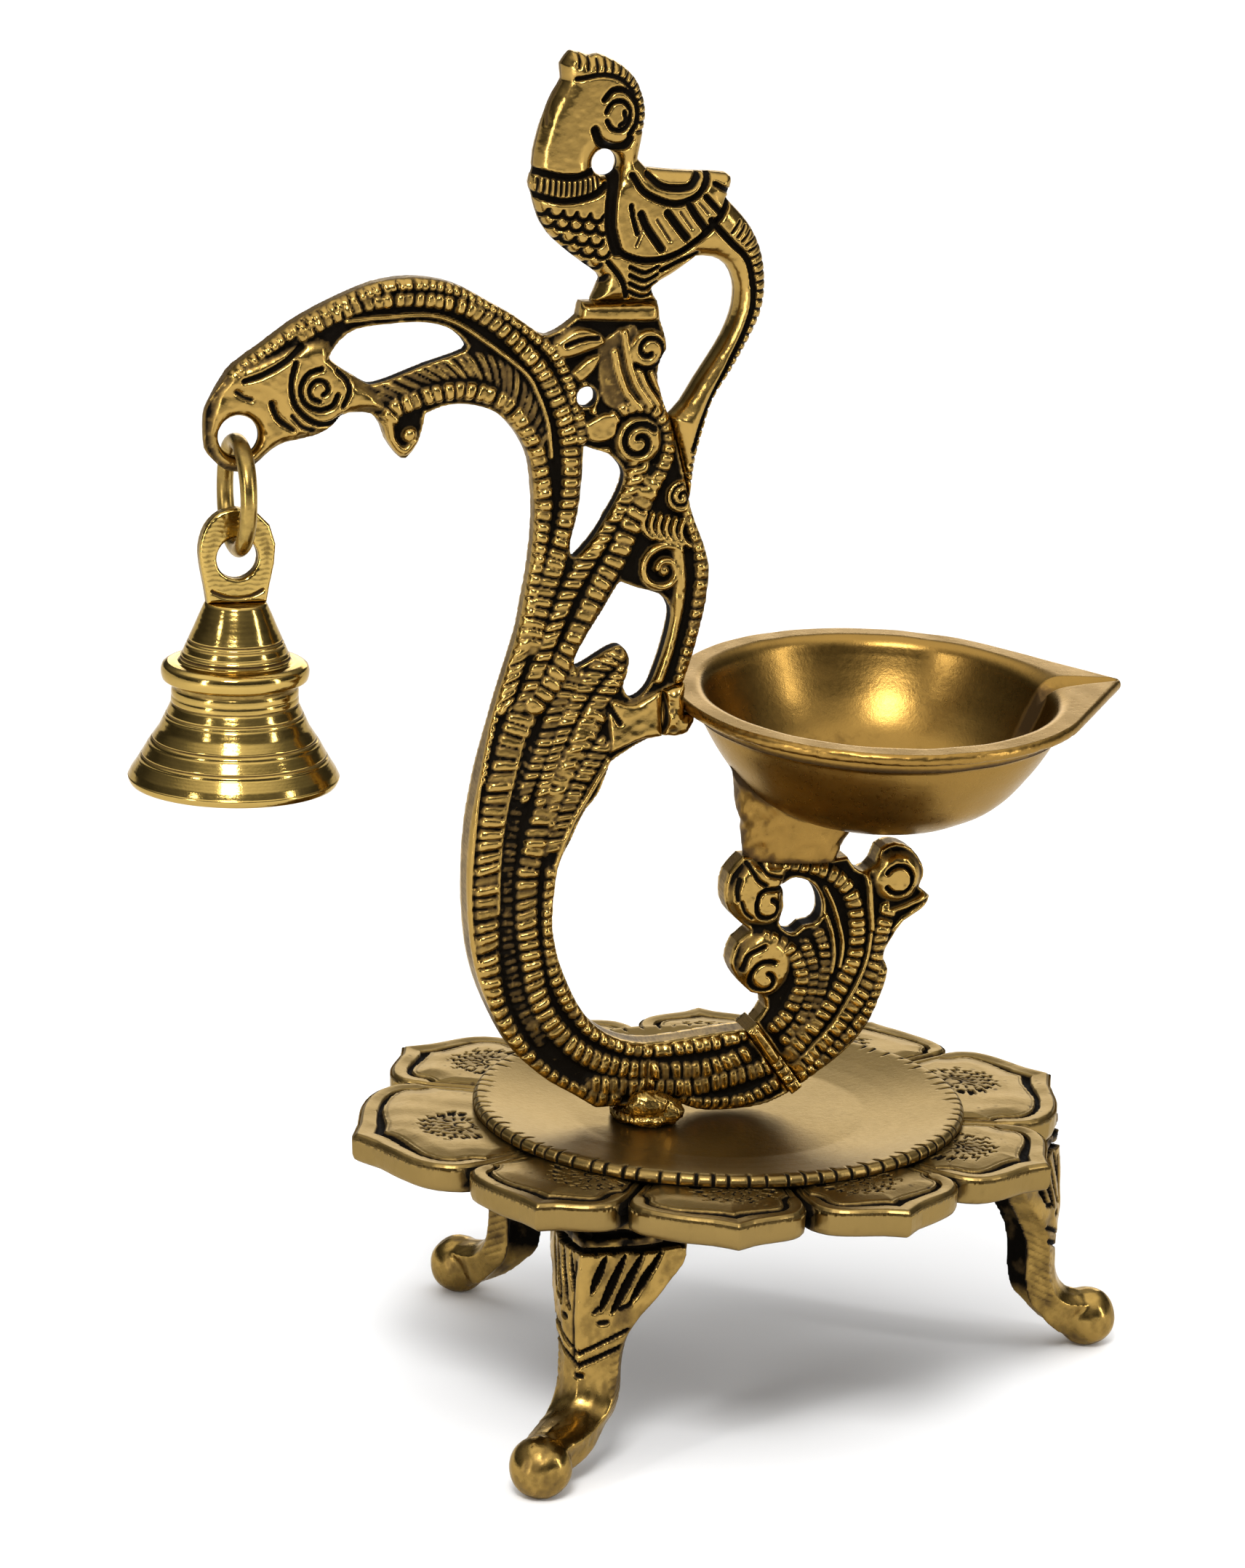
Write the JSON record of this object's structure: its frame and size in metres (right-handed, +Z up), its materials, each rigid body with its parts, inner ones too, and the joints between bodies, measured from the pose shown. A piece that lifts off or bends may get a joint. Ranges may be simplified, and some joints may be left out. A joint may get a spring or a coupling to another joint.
{
  "type": "standing oil lamp",
  "caption": "Brass standing oil lamp: an openwork swan neck with a peacock carries a spouted oil bowl and a hanging bell, on a lotus base with cabriole legs.",
  "frame": {"origin": "on the table, under the centre of the lotus base", "axes": "+Z up; the openwork casting lies in the XZ plane, the bell hangs on the -X side and the bowl's spout points to +X"},
  "size_m": [0.1969, 0.1262, 0.254],
  "materials": {
    "antique_brass": "cast brass, polished ridges over black patina",
    "satin_base_brass": "satin cast brass with dark engraved lines",
    "satin_bowl_brass": "satin cast brass, fine pits",
    "polished_bell_brass": "turned and polished brass",
    "dark_fastener_brass": "dull brass"
  },
  "bodies": {
    "stand": {"lotus_plate": "satin_base_brass", "centre_disc": "satin_base_brass", "leg_front": "antique_brass", "leg_back": "antique_brass", "leg_right": "antique_brass", "leg_rivets": "dark_fastener_brass", "frame_bolt": "dark_fastener_brass", "frame_washer": "dark_fastener_brass", "frame_boss": "antique_brass", "swan_frame": "antique_brass", "collar_band": "antique_brass", "tail_scroll": "antique_brass", "peacock": "antique_brass", "bowl_bracket": "antique_brass", "bowl_foot": "satin_bowl_brass", "oil_bowl": "satin_bowl_brass"},
    "ring": {"hanging_ring": "polished_bell_brass"},
    "bell": {"bell_eye": "polished_bell_brass", "bell_body": "polished_bell_brass", "clapper_staple": "dark_fastener_brass"},
    "clapper": {"clapper_rod": "dark_fastener_brass", "clapper_ball": "dark_fastener_brass"}
  },
  "joints": [
    {"name": "ring_swing", "type": "hinge", "parent": "stand", "child": "ring", "pos_m": [-0.094, 0, 0.185], "axis": [0, 1, 0], "range_deg": [-20, 35]},
    {"name": "bell_swing", "type": "hinge", "parent": "ring", "child": "bell", "pos_m": [-0.094, 0, 0.1754], "axis": [1, 0, 0], "range_deg": [-35, 35]},
    {"name": "clapper_swing", "type": "hinge", "parent": "bell", "child": "clapper", "pos_m": [-0.094, 0, 0.1466], "axis": [0, 1, 0], "range_deg": [-28, 28]}
  ]
}
